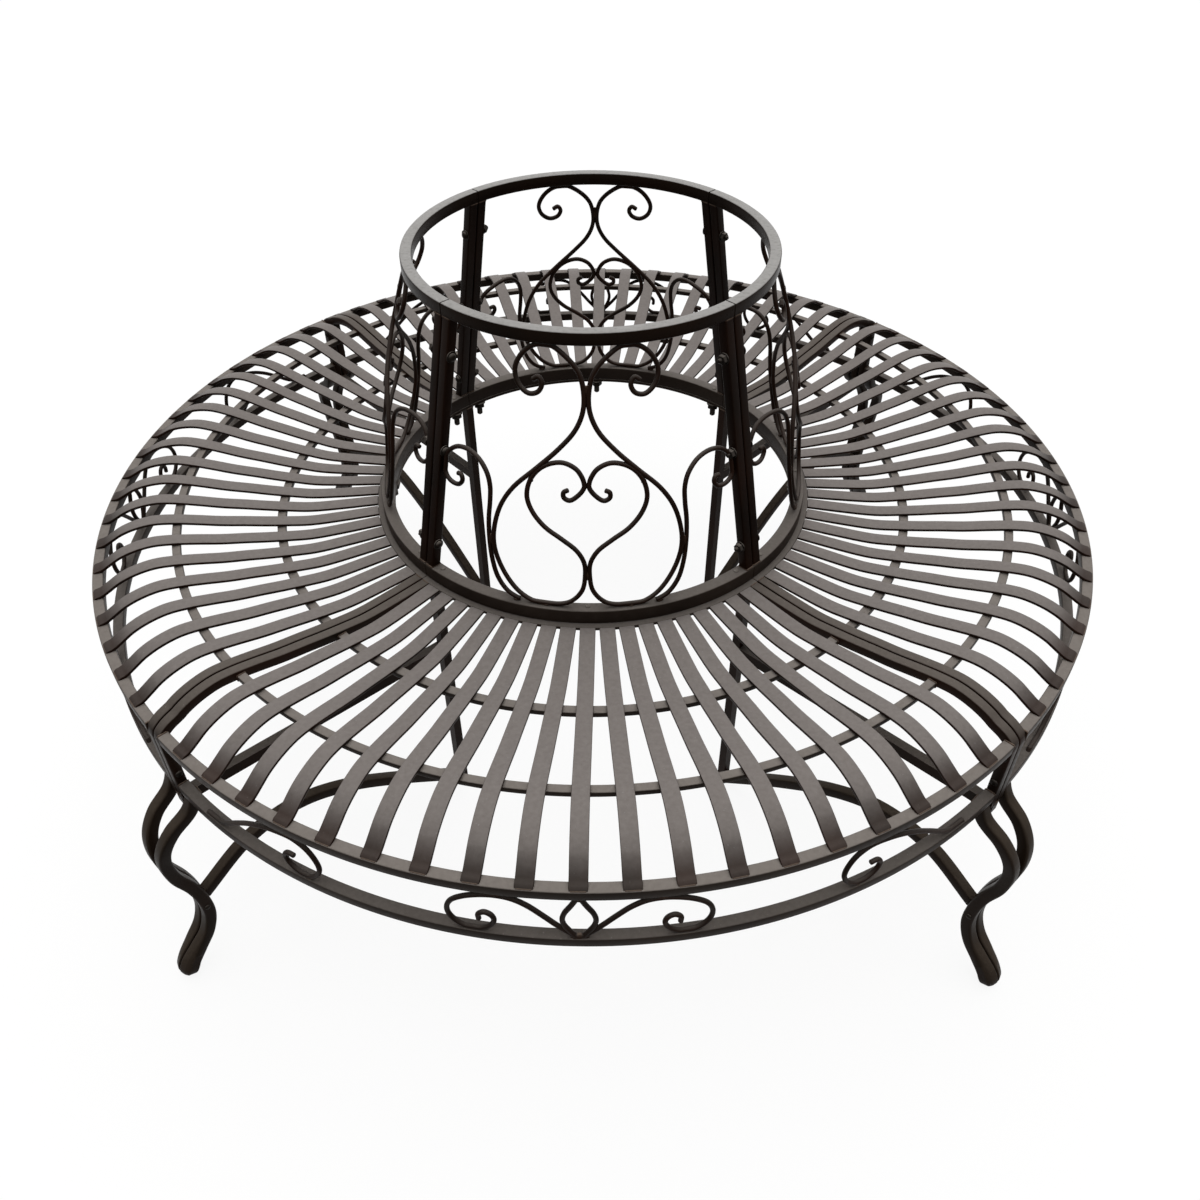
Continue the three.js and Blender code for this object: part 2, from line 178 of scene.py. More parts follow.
# Shapes: a function for a solid gives (vertices in mm, faces), X outward, Y sideways, Z up
def smooth_line(stations, per_span=8):
    """A centripetal spline through stations, sampled per_span times in each span."""
    p = np.asarray(stations, float)
    p = np.vstack([2 * p[0] - p[1], p, 2 * p[-1] - p[-2]])
    out = []
    for i in range(1, len(p) - 2):
        a, b, c, d = p[i - 1 : i + 3]
        t0 = 0.0
        t1 = t0 + math.sqrt(np.linalg.norm(b - a)) + 1e-9
        t2 = t1 + math.sqrt(np.linalg.norm(c - b)) + 1e-9
        t3 = t2 + math.sqrt(np.linalg.norm(d - c)) + 1e-9
        last = i == len(p) - 3
        for t in np.linspace(t1, t2, per_span + 1)[: None if last else -1]:
            ab = (t1 - t) / (t1 - t0) * a + (t - t0) / (t1 - t0) * b
            bc = (t2 - t) / (t2 - t1) * b + (t - t1) / (t2 - t1) * c
            cd = (t3 - t) / (t3 - t2) * c + (t - t2) / (t3 - t2) * d
            abc = (t2 - t) / (t2 - t0) * ab + (t - t0) / (t2 - t0) * bc
            bcd = (t3 - t) / (t3 - t1) * bc + (t - t1) / (t3 - t1) * cd
            out.append((t2 - t) / (t2 - t1) * abc + (t - t1) / (t2 - t1) * bcd)
    return np.array(out)


def tangents(path):
    t = np.gradient(path, axis=0)
    return t / np.linalg.norm(t, axis=1, keepdims=True)


def rounded(width, height, radius, steps=3):
    """A rectangle with rounded corners, counter-clockwise about its centre."""
    out = []
    for cx, cy, start in ((1, 1, 0), (-1, 1, 90), (-1, -1, 180), (1, -1, 270)):
        for k in range(steps + 1):
            a = math.radians(start + 90 * k / steps)
            out.append((cx * (width / 2 - radius) + radius * math.cos(a),
                        cy * (height / 2 - radius) + radius * math.sin(a)))
    return np.array(out)


def disc(radius, sides=16):
    a = np.arange(sides) * 2 * math.pi / sides
    return np.stack([radius * np.cos(a), radius * np.sin(a)], -1)


def skin(rings):
    """Closed solid through rings of equal size, with flat ends."""
    n, m = rings.shape[:2]
    faces = []
    for i in range(n - 1):
        for j in range(m):
            k = (j + 1) % m
            faces.append((i * m + j, i * m + k, (i + 1) * m + k, (i + 1) * m + j))
    faces.append(tuple(reversed(range(m))))
    faces.append(tuple((n - 1) * m + j for j in range(m)))
    return rings.reshape(-1, 3), faces


def sweep(path, sideways, section):
    """section swept along path, its first axis as near to sideways as it can stay."""
    t = tangents(path)
    side = np.broadcast_to(np.asarray(sideways, float), path.shape)
    side = side - (side * t).sum(1, keepdims=True) * t
    side = side / np.linalg.norm(side, axis=1, keepdims=True)
    up = np.cross(t, side)
    return skin(path[:, None] + side[:, None] * section[:, :1] + up[:, None] * section[:, 1:])


def rod_along(path, radius=ROD, sides=14):
    """A round rod along any path, with slightly eased ends."""
    t = tangents(path)
    side = np.cross(t[0], [0.3, 0.5, 0.81])
    side /= np.linalg.norm(side)
    frames = []
    for k in range(len(path)):
        side = side - (side @ t[k]) * t[k]
        side = side / np.linalg.norm(side)
        frames.append(side)
    side = np.array(frames)
    up = np.cross(t, side)
    section = disc(radius, sides)
    rings = path[:, None] + side[:, None] * section[:, :1] + up[:, None] * section[:, 1:]
    ease, narrow = radius * 0.3, 0.72
    first = path[0] + (rings[0] - path[0]) * narrow - t[0] * ease
    last = path[-1] + (rings[-1] - path[-1]) * narrow + t[-1] * ease
    return skin(np.concatenate([first[None], rings, last[None]]))


def outward(part):
    """The same solid with its faces turned to point out."""
    v, f = np.asarray(part[0], float), part[1]
    fans = [(face[0], face[k], face[k + 1]) for face in f for k in range(1, len(face) - 1)]
    tri = np.array(fans)
    a, b, c = (v[tri[:, k]] - v.mean(0) for k in range(3))
    total = (a * np.cross(b, c)).sum()
    return (v, f) if total > 0 else (v, [tuple(reversed(face)) for face in f])


def merge(parts):
    verts, faces, base = [], [], 0
    for v, f in map(outward, parts):
        verts.append(np.asarray(v, float))
        faces += [tuple(i + base for i in face) for face in f]
        base += len(v)
    return np.vstack(verts), faces


def turned(part, angle):
    v, f = part
    c, s = math.cos(angle), math.sin(angle)
    return np.asarray(v) @ np.array([[c, s, 0], [-s, c, 0], [0, 0, 1]]), f


def moved(part, offset):
    v, f = part
    return np.asarray(v) + np.asarray(offset, float), f


def aimed(part, axis):
    """Turns a part whose own axis is +Z to the given axis."""
    v, f = part
    q = Vector((0, 0, 1)).rotation_difference(Vector(axis)).to_matrix()
    return np.asarray(v) @ np.array(q).T, f


def lathe(profile, sides=20):
    """A closed solid turned about Z from (radius, height) pairs, its two ends capped."""
    a = np.arange(sides) * 2 * math.pi / sides
    rings = np.array([[[r * math.cos(x), r * math.sin(x), z] for x in a] for r, z in profile])
    return skin(rings)


def arc_bar(inner, outer, bottom, top, offset, radius=1.2, stations=61, ease=0.6):
    """A bar round a quarter, its ends cut parallel to the corners' planes and slightly eased."""
    middle = np.array([(inner + outer) / 2, (bottom + top) / 2])
    full = rounded(outer - inner, top - bottom, radius) + middle
    small = rounded(outer - inner - 2 * ease, top - bottom - 2 * ease, radius) + middle
    turns = np.linspace(-1, 1, stations)
    rings = []
    for u, section, back in [(-1, small, 0)] + [(u, full, ease) for u in turns] + [(1, small, 0)]:
        a = u * (CORNER - np.arcsin((offset + back) / section[:, 0]))
        r, z = section.T
        rings.append(np.stack([r * np.cos(a), r * np.sin(a), z], -1))
    return skin(np.array(rings))


def lift(line, y=0.0):
    """(radius, height) pairs to points in the corner's plane, y to the side."""
    line = np.asarray(line, float)
    return np.stack([line[:, 0], np.full(len(line), y), line[:, 1]], -1)


def crown_line():
    """The slats' top line as (radius, height) pairs."""
    s = np.array(CROWN_SHARES)
    line = np.stack([SLAT_IN + (SLAT_OUT - SLAT_IN) * s[:, 0], RING_TOP + CROWN * s[:, 1]], -1)
    return smooth_line(line, 4)


def beneath(line, distance):
    """The line moved down along its own normals."""
    t = tangents(np.asarray(line, float))
    return line - np.stack([-t[:, 1], t[:, 0]], -1) * distance


def under_at(radius):
    """Height of the slats' underside at a radius."""
    low = beneath(crown_line(), SLAT_T)
    return float(np.interp(radius, low[:, 0], low[:, 1]))


def slat():
    """One flat slat, crowned, its outer end eased down into the rim."""
    line = beneath(crown_line(), SLAT_T / 2)
    last_step = line[-2] - line[-1]
    back = line[-1] + last_step * SLAT_EASE / np.linalg.norm(last_step)
    line = np.vstack([line[line[:, 0] < back[0] - 0.5], back, line[-1]])
    section = rounded(SLAT_W, SLAT_T, SLAT_EDGE)
    v, f = sweep(lift(line), (0, -1, 0), section)
    last = v[-len(section):]
    last[:, 2] = np.minimum(last[:, 2], RIM_TOP + SLAT_END_PROUD)
    last[:, 1] *= SLAT_END_SHARE
    return v, f


def end_bar(side):
    """A bar that follows the slats' crown, bends over the rim and ends as a stile."""
    crown = crown_line()
    crown = crown[crown[:, 0] < RIM_R - END_BEND_START]
    bend = smooth_line([crown[-1]] + [(RIM_R + out, RIM_TOP + high) for out, high in END_BEND], 6)
    tail = [(RIM_R, z) for z in np.linspace(RIM_TOP - END_TAIL_START, STILE_FOOT, 12)]
    line = np.vstack([crown[:-1], bend, tail])
    centre = beneath(line, BAR / 2)
    keep = [0]
    for k in range(1, len(centre)):
        if (centre[k] - centre[keep[-1]]) @ (line[k] - line[keep[-1]]) > 0.2:
            keep.append(k)
    return sweep(lift(centre[keep], side * SPREAD), (0, -1, 0), rounded(BAR, BAR, END_EDGE))


def rod_limit(radius, reach):
    """The largest angle at which a rod stays clear of what reaches that far from the corner."""
    return CORNER - np.arcsin((reach + CLEAR + ROD) / radius)


def guard_radius(z):
    """Radius of the posts' cone at a height."""
    return POST_FOOT_R + (POST_HEAD_R - POST_FOOT_R) * (z - RAIL_TOP) / (TOP_LOW - RAIL_TOP)


def bow_at(along, z):
    """How far the scroll panel stands out past the posts' cone: most in its middle."""
    share = np.clip((z - RAIL_TOP) / (TOP_LOW - RAIL_TOP), 0, 1)
    held = np.clip((BOW_HELD - along) / (BOW_HELD - BOW_FREE), 0, 1)
    return BOW * np.sin(math.pi * share) ** BOW_POWER * held * held * (3 - 2 * held)


def guard_points(along, z):
    """Points of a measured line. It was read where the photograph's sight lines meet the posts'
    cone, so a point of the bowed panel lies further along its sight line, towards the eye."""
    along, z = np.asarray(along, float), np.asarray(z, float)
    r = guard_radius(z)
    a = np.minimum(along / r, rod_limit(r, POST_SEAM / 2 + POST_BAR))
    x, y = r * np.cos(a), r * np.sin(a)
    plan = np.hypot(EYE_OUT - x, y)
    forward = bow_at(along, z) / np.cos(a)
    x, y = x + forward * (EYE_OUT - x) / plan, y - forward * y / plan
    return np.stack([x, y, z + forward * (EYE_HIGH - z) / plan], -1)


def guard_path(line, side):
    """The path of a guard rod, kept between the rails; side -1 mirrors it."""
    low, high = RAIL_TOP + ROD - BITE, TOP_LOW - CLEAR - ROD
    line = smooth_line(line, 5)
    points = guard_points(line[:, 0], np.clip(line[:, 1], low, high))
    points[:, 2] = np.clip(points[:, 2], low, high)
    return points * (1, side, 1)


def apron_path(line, side):
    """The path of an apron rod on the rim's cylinder; the end rods sink into the lower rail."""
    low, high = APRON_TOP + ROD - BITE, RIM_LOW - CLEAR - ROD
    line = smooth_line(line, 5)
    z = np.clip(line[:, 1], low - END_ROD_SINK * (line[:, 0] > END_ROD_START), high)
    r = RIM_R - APRON_INSET - ROD
    a = side * line[:, 0] / r
    return np.stack([r * np.cos(a), r * np.sin(a), z], -1)


def toe_ring(ring, middle, share, small, gap, side):
    """Moves one ring of a leg towards a half disc: all the way at share 1, and smaller by small."""
    half = LEG_BAR / 2
    ahead = ring[len(ring) // 8] - ring[-len(ring) // 8]
    ahead = np.array([ahead[0], 0, ahead[2]]) / np.hypot(ahead[0], ahead[2])
    u = (ring - middle) @ ahead / half
    w = (side * (ring - middle)[:, 1] / half + 1) / 2
    round_u = u * np.sqrt(1 - w * w / 2) * TOE_DEEP
    round_w = w * np.sqrt(1 - u * u / 2) * TOE_ROUND
    square_u, square_w = u * half, w * LEG_BAR
    u = square_u + (round_u - square_u) * share
    w = square_w + (round_w - square_w) * share
    ring[:] = middle + np.outer(u * small, ahead)
    ring[:, 1] = side * (gap / 2 + w * small)


def leg(side):
    """A cabriole leg: square bar with soft edges. The two of a pair swell into one round pad on
    the floor, of which each has one half."""
    stations = [(HEAD_R + (FOOT_R - HEAD_R) * b, HEAD_Z * a, c) for a, b, c in LEG_SHARES]
    line = smooth_line(stations, 8)
    line = line[line[:, 1] > TOE_TALL]
    toe = np.clip((TOE_HEIGHT - line[:, 1]) / (TOE_HEIGHT - TOE_TALL - TOE_FULL), 0, 1)
    toe = toe * toe * (3 - 2 * toe)
    seam = SEAM + (FOOT_SEAM - SEAM) * toe
    beside = (seam + LEG_BAR) / 2
    across = side * (beside + (HEAD_SPREAD - beside) * line[:, 2])
    path = np.stack([line[:, 0], across, line[:, 1]], -1)
    turns = np.radians(TOE_TURNS)
    down = (path[0] - path[1]) / np.linalg.norm(path[0] - path[1])
    tip = np.array([path[0] + down * TOE_TALL * math.sin(a) for a in turns])
    path = np.vstack([tip, path])
    section = rounded(LEG_BAR, LEG_BAR, LEG_EDGE, 4)
    rings = sweep(path, (0, 1, 0), section)[0].reshape(-1, len(section), 3)
    shares = np.concatenate([np.ones(len(tip)), toe])
    shrink = np.concatenate([np.cos(turns) ** TOE_POWER, np.ones(len(toe))])
    gaps = np.concatenate([np.full(len(tip), seam[0]), seam])
    for ring, middle, share, small, gap in zip(rings, path, shares, shrink, gaps):
        if share > 0:
            toe_ring(ring, middle, share, small, gap, side)
    z = rings[:, :, 2]
    z[:] = np.maximum(z - (z.min() + SOLE) * np.clip(1 - z / TOE_HEIGHT, 0, 1), 0)
    return cut_level(rings, HEAD_Z)


def cut_level(rings, height):
    """Ends a swept bar in a level face: each edge line runs on to that height."""
    keep = int(np.argmax((rings[:, :, 2] >= height).any(1)))
    step = rings[keep - 1] - rings[keep - 2]
    edge = rings[keep - 1] + step * ((height - rings[keep - 1][:, 2]) / step[:, 2])[:, None]
    return skin(np.concatenate([rings[:keep], edge[None]]))


def post(side):
    """A leaning post of the guard, from the bottom rail to the top rail."""
    mid = side * (POST_SEAM + POST_BAR) / 2
    path = [(POST_FOOT_R, mid, RAIL_TOP + CLEAR), (POST_HEAD_R, mid, TOP_LOW - CLEAR)]
    section = rounded(POST_BAR, POST_BAR, POST_EDGE, 4)
    rings = [[(c[0] + x, c[1] + y, c[2]) for x, y in section] for c in path]
    return skin(np.array(rings))


def stretcher():
    """The arched bar from the inner leg's foot to the ankles."""
    start, end = INNER_LEG_R + BAR / 2 + CLEAR, ANKLE_R - BAR / 2 - CLEAR
    rise = STRETCH_ARCH - STRETCH_FOOT
    stations = [(start + (end - start) * a, STRETCH_FOOT + rise * b) for a, b in STRETCHER_SHARES]
    section = rounded(STRETCH_BAR, STRETCH_BAR, STRETCH_EDGE)
    return sweep(lift(smooth_line(stations, 8)), (0, -1, 0), section)


# Fasteners: each stands on Z = 0 and grows up, in millimetres; a turned one starts near its axis
CENTRE = 0.01


def dome_head(radius=5.4, height=3.4):
    """A bolt's round head."""
    dome = [(0.93, 0.45), (0.72, 0.8), (0.38, 0.97)]
    profile = [(CENTRE, 0), (radius, 0), (radius, 0.5)]
    profile += [(radius * a, height * b) for a, b in dome] + [(CENTRE, height)]
    return lathe(profile, 20)


def washer():
    return lathe([(CENTRE, 0), (WASHER_R, 0), (WASHER_R, WASHER_T), (CENTRE, WASHER_T)], 24)


def hex_nut():
    """A hexagon nut with chamfered ends."""
    a = np.arange(6) * math.pi / 3
    r = NUT_ACROSS / math.sqrt(3)
    chamfer, narrow = 0.7, 0.88
    ends = ((narrow, 0.0), (1, chamfer), (1, NUT_H - chamfer), (narrow, NUT_H))
    rings = [[(k * r * math.cos(x), k * r * math.sin(x), z) for x in a] for k, z in ends]
    return skin(np.array(rings))


def thread_end(radius=3.2, length=9.0, pitch=1.0):
    """The bolt's loose end, with its thread as close ridges."""
    root, point = radius * 0.88, radius * 0.6
    profile = [(CENTRE, 0)]
    for k in range(int(length / pitch)):
        profile += [(root, k * pitch), (radius, (k + 0.5) * pitch)]
    profile += [(root, length), (point, length + 0.8), (CENTRE, length + 1.0)]
    return lathe(profile, 16)


def nut_stack(tail=3.0):
    """Washer, nut and the bolt's end."""
    nut = moved(hex_nut(), (0, 0, WASHER_T))
    return merge([washer(), nut, moved(thread_end(length=tail), (0, 0, WASHER_T + NUT_H))])


def cross_bolt(at, half):
    """A bolt through a pair of bars: a dome on one side, a nut on the other."""
    head = merge([washer(), moved(dome_head(), (0, 0, WASHER_T))])
    head = moved(aimed(head, (0, 1, 0)), np.add(at, (0, half, 0)))
    nut = moved(aimed(nut_stack(), (0, -1, 0)), np.add(at, (0, -half, 0)))
    return merge([head, nut])


def dome_pair(at, half, radius=4.6, height=2.0):
    """A riveted bolt with a low dome on each side."""
    domes = []
    for way in (-1, 1):
        dome = aimed(dome_head(radius, height), (0, way, 0))
        domes.append(moved(dome, np.add(at, (0, way * half, 0))))
    return merge(domes)


def upright_bolt(radius, angle):
    """A bolt up through the inner ring and the guard's bottom rail, its nut and long end below."""
    top = moved(dome_head(3.6, 1.5), (radius, 0, RAIL_TOP))
    v, f = nut_stack(9.0)
    low = moved(aimed((v * RING_BOLT_SCALE, f), (0, 0, -1)), (radius, 0, RING_TOP - RING_T))
    return turned(merge([top, low]), angle)


# Weld metal
def bead(at, size, seed):
    """A small lump of weld, uneven all round."""
    rng = np.random.default_rng(seed)
    rings = []
    for k in range(1, 8):
        lat = math.pi * k / 8 - math.pi / 2
        ring = []
        for j in range(12):
            lon = 2 * math.pi * j / 12
            wave = 1 + 0.13 * math.sin(3 * lon + seed) + rng.uniform(-0.07, 0.07)
            ring.append((size[0] * math.cos(lat) * math.cos(lon) * wave,
                         size[1] * math.cos(lat) * math.sin(lon) * wave, size[2] * math.sin(lat)))
        rings.append(ring)
    return moved(skin(np.array(rings)), at)


def weld_line(start, end, radius, seed, ripple=2.2):
    """A run of weld from start to end, rippled like laid coins."""
    rng = np.random.default_rng(seed)
    start, end = np.asarray(start, float), np.asarray(end, float)
    length = np.linalg.norm(end - start)
    steps = max(4, int(length / ripple * 4))
    along = (end - start) / length
    side = np.cross(along, [0.2, 0.35, 0.91])
    side = side / np.linalg.norm(side)
    up = np.cross(along, side)
    rings = []
    for k in range(steps + 1):
        t = k / steps
        coin = 0.86 + 0.14 * abs(math.sin(math.pi * t * length / ripple))
        swell = radius * (coin + rng.uniform(-0.05, 0.05))
        if k in (0, steps):
            swell = swell * 0.55
        ring = [start + along * length * t + (side * math.cos(a) + up * math.sin(a)) * swell
                for a in np.arange(8) * math.pi / 4]
        rings.append(ring)
    return skin(np.array(rings))


def weld_frame(centre, across, up, half_across, half_up, radius, seed):
    """Weld round the end of a rectangular bar."""
    centre, across, up = (np.asarray(q, float) for q in (centre, across, up))
    turns = ((-1, -1), (1, -1), (1, 1), (-1, 1))
    corners = [centre + across * half_across * i + up * half_up * j for i, j in turns]
    return [weld_line(corners[k], corners[(k + 1) % 4], radius, seed + k) for k in range(4)]


# Materials
GLOSS = 0.04
GLOSS_TINT = (1.0, 0.85, 0.72, 1)
PATCH_SCALE, FINE_SCALE, SPECK_SCALE = 11.0, 190.0, 420.0
SPECK_GAIN, SPECK_TOP = 2.6, 0.3
PEEL_STRENGTH, PEEL_DEPTH = 0.2, 0.0004


def shaded(material):
    """The material's node tree, cleared, with one Principled shader at its output."""
    material.use_nodes = True
    tree = material.node_tree
    tree.nodes.clear()
    out = tree.nodes.new("ShaderNodeOutputMaterial")
    shader = tree.nodes.new("ShaderNodeBsdfPrincipled")
    tree.links.new(shader.outputs[0], out.inputs["Surface"])
    return tree, shader


def coated_steel(name, dark, light, painted_sheen, rough, grain, painted_sheen_low=0.3, painted_end_shade=None):
    """Satin powder coat: dark and light brown in soft patches, and orange peel. Faces that look up
    get a painted sheen of colour film, a pale tone that stands in for the overhead light's
    reflection: it starts at the normal's height painted_sheen_low and carries light specks, painted
    glints.
    worn, if given, is (radius from, radius to, share left): the painted sheen fades between these
    distances from the axis, a painted shade on the slats' outer ends."""
    material = bpy.data.materials.new(name)
    tree, shader = shaded(material)
    add, link = tree.nodes.new, tree.links.new
    place = add("ShaderNodeTexCoord")

    def noise(scale, detail):
        node = add("ShaderNodeTexNoise")
        node.inputs["Scale"].default_value = scale
        node.inputs["Detail"].default_value = detail
        link(place.outputs["Object"], node.inputs["Vector"])
        return node

    def spread(source, *limits):
        node = add("ShaderNodeMapRange")
        for key, value in zip(("From Min", "From Max", "To Min", "To Max"), limits):
            node.inputs[key].default_value = value
        link(source, node.inputs["Value"])
        return node.outputs["Result"]

    def mixed(factor, low, high):
        node = add("ShaderNodeMix")
        node.data_type = "RGBA"
        link(factor, node.inputs["Factor"])
        for key, value in (("A", low), ("B", high)):
            if isinstance(value, tuple):
                node.inputs[key].default_value = (*value, 1)
            else:
                link(value, node.inputs[key])
        return node.outputs["Result"]

    def times(one, other):
        node = add("ShaderNodeMath")
        node.operation = "MULTIPLY"
        link(one, node.inputs[0])
        link(other, node.inputs[1])
        return node.outputs[0]

    patches = spread(noise(PATCH_SCALE, 4.0).outputs["Fac"], 0.36, 0.64)
    base = mixed(patches, dark, light)
    normal = add("ShaderNodeNewGeometry")
    split = add("ShaderNodeSeparateXYZ")
    link(normal.outputs["Normal"], split.inputs[0])
    # Painted sheen: faces that look up get a pale colour that stands in for the overhead light's
    # reflection.
    painted_sheen_mask = spread(split.outputs["Z"], painted_sheen_low, 0.97)
    fine = noise(FINE_SCALE, 5.0).outputs["Fac"]
    # Painted shade: the painted sheen fades towards the slats' outer ends, which bend down away
    # from the light.
    if painted_end_shade:
        plan = add("ShaderNodeVectorMath")
        plan.operation = "MULTIPLY"
        plan.inputs[1].default_value = (1, 1, 0)
        link(place.outputs["Object"], plan.inputs[0])
        distance = add("ShaderNodeVectorMath")
        distance.operation = "LENGTH"
        link(plan.outputs[0], distance.inputs[0])
        painted_sheen_mask = times(painted_sheen_mask, spread(distance.outputs["Value"], painted_end_shade[0], painted_end_shade[1], 1.0, painted_end_shade[2]))
    coat_with_painted_sheen = mixed(times(painted_sheen_mask, spread(fine, 0.3, 0.7, 0.84, 1.0)), base, painted_sheen)
    # Light specks on faces that look up only: painted glints within the painted sheen.
    specks = spread(noise(SPECK_SCALE, 2.0).outputs["Fac"], 0.7, 0.78, 0.0, 0.5)
    bright = tuple(min(SPECK_TOP, SPECK_GAIN * c) for c in painted_sheen)
    colour = mixed(times(painted_sheen_mask, specks), coat_with_painted_sheen, bright)
    link(colour, shader.inputs["Base Color"])
    link(spread(fine, 0.3, 0.7, rough - 0.05, rough + 0.06), shader.inputs["Roughness"])
    bump = add("ShaderNodeBump")
    bump.inputs["Strength"].default_value = PEEL_STRENGTH
    bump.inputs["Distance"].default_value = PEEL_DEPTH
    link(noise(grain, 3.0).outputs["Fac"], bump.inputs["Height"])
    link(bump.outputs["Normal"], shader.inputs["Normal"])
    shader.inputs["Specular IOR Level"].default_value = GLOSS
    shader.inputs["Specular Tint"].default_value = GLOSS_TINT
    return material


# Each coat has two base colours, the colour of its painted sheen, its roughness and its grain's
# scale.
# All coats are one powder coat in lit and shaded copies: lighter or darker by part, painted light.
BROWN, REDDISH = (0.0105, 0.0062, 0.0042), (0.021, 0.0095, 0.0062)
# Lighter base colours for the rails: a lit copy, painted light.
LIT_BROWN, LIT_GREY = (0.019, 0.0135, 0.011), (0.033, 0.024, 0.019)
# Painted shade on the slats' outer ends: between these radii, in metres, the painted sheen fades to
# a fifth.
SLAT_PAINTED_END_SHADE = (0.664, 0.687, 0.2)
COAT = coated_steel("coat", BROWN, REDDISH, (0.1, 0.087, 0.077), 0.4, 650.0)
LEG_COAT = coated_steel("leg_coat", (0.007, 0.0036, 0.0019), (0.015, 0.0078, 0.0045),
                        (0.062, 0.049, 0.038), 0.4, 650.0, 0.0)
SLAT_COAT = coated_steel("slat_coat", BROWN, REDDISH,
                         (0.178, 0.161, 0.152), 0.42, 500.0, 0.45, SLAT_PAINTED_END_SHADE)
LOW_RAIL_COAT = coated_steel("low_rail_coat", LIT_BROWN, LIT_GREY,
                             (0.118, 0.105, 0.0955), 0.4, 600.0)
RAIL_COAT = coated_steel("rail_coat", LIT_BROWN, LIT_GREY, (0.175, 0.157, 0.143), 0.38, 600.0)
# The top rail's bright sheen colour is a painted highlight along its rounded top.
TOP_COAT = coated_steel("top_rail_coat", (0.006, 0.0032, 0.0018), (0.012, 0.006, 0.0035),
                        (0.3, 0.294, 0.286), 0.3, 600.0, 0.6)
POST_COAT = coated_steel("post_coat", (0.004, 0.0016, 0.0008), (0.011, 0.0042, 0.0022),
                         (0.085, 0.072, 0.06), 0.4, 650.0)
ROD_COAT = coated_steel("rod_coat", BROWN, REDDISH, (0.065, 0.0555, 0.05), 0.4, 900.0)
WELD = coated_steel("weld_coat", (0.02, 0.011, 0.0075), (0.045, 0.026, 0.018),
                    (0.13, 0.098, 0.078), 0.48, 420.0)
BOLT = coated_steel("bolt_coat", (0.011, 0.009, 0.0075), (0.019, 0.015, 0.0125),
                    (0.15, 0.134, 0.12), 0.36, 500.0)


# Pieces
SHARP_ANGLE = math.radians(32.0)
SOFT_EDGE = 0.0014


def piece(name, part, azimuth=0.0, nodes=(), material=COAT):
    """Makes a part, turned to its azimuth, a piece of the scene that stands for the CAD nodes."""
    v, f = turned(part, azimuth)
    mesh = bpy.data.meshes.new(name)
    mesh.from_pydata((v / MM).tolist(), [], f)
    mesh.validate()
    mesh.update()
    total = sum(p.center.dot(p.normal) * p.area for p in mesh.polygons)
    if total < 0:
        mesh.flip_normals()
    for p in mesh.polygons:
        p.use_smooth = True
    mesh.set_sharp_from_angle(angle=SHARP_ANGLE)
    obj = bpy.data.objects.new(name, mesh)
    bpy.context.scene.collection.objects.link(obj)
    mesh.materials.append(material)
    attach(obj, "root")
    if nodes:
        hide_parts(*nodes)


def keep_node(name):
    """A CAD node that stays as it is: it gets the coat and softened edges."""
    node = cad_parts[name]
    node.data.materials.clear()
    node.data.materials.append(COAT)
    soften = node.modifiers.new("soft_edges", "BEVEL")
    soften.width = SOFT_EDGE
    soften.segments = 3
    soften.limit_method = "ANGLE"


def bead_row(places, seed, point_at):
    """Beads at (along, height) places, and their mirror images where they lie off the middle."""
    parts = []
    for k, (along, height, size) in enumerate(places):
        x, y, z = point_at(along, height)
        r = math.hypot(x, y)
        for side in (-1, 1) if along else (1,):
            lump = bead((r, 0, z), size, seed + 2 * k + side)
            parts.append(turned(lump, side * math.asin(y / r)))
    return merge(parts)


def apron_point(along, z):
    """A point of the apron's rods: distance along the arc and height."""
    r = RIM_R - APRON_INSET - ROD
    return r * math.cos(along / r), r * math.sin(along / r), z


def support_place(which):
    """Radius, width and top of a slat support."""
    share, width = SUPPORTS[which]
    radius = SLAT_IN + (SLAT_OUT - SLAT_IN) * share
    return radius, width, under_at(radius - width / 2) - CLEAR


def slat_welds(seed):
    """A thin run of weld at the outer end of every slat, and one under its inner end."""
    parts = []
    half, high, low = SLAT_W / 2 - 1.6, RIM_TOP - 0.3, RING_TOP - SLAT_T
    for k in range(SLATS):
        angle = (k - (SLATS - 1) / 2) * PITCH
        over = weld_line((SLAT_OUT, -half, high), (SLAT_OUT, half, high), 1.1, seed + k)
        under = weld_line((SLAT_IN, -half, low), (SLAT_IN, half, low), 1.3, seed + 40 + k)
        parts += [turned(over, angle), turned(under, angle)]
    return parts


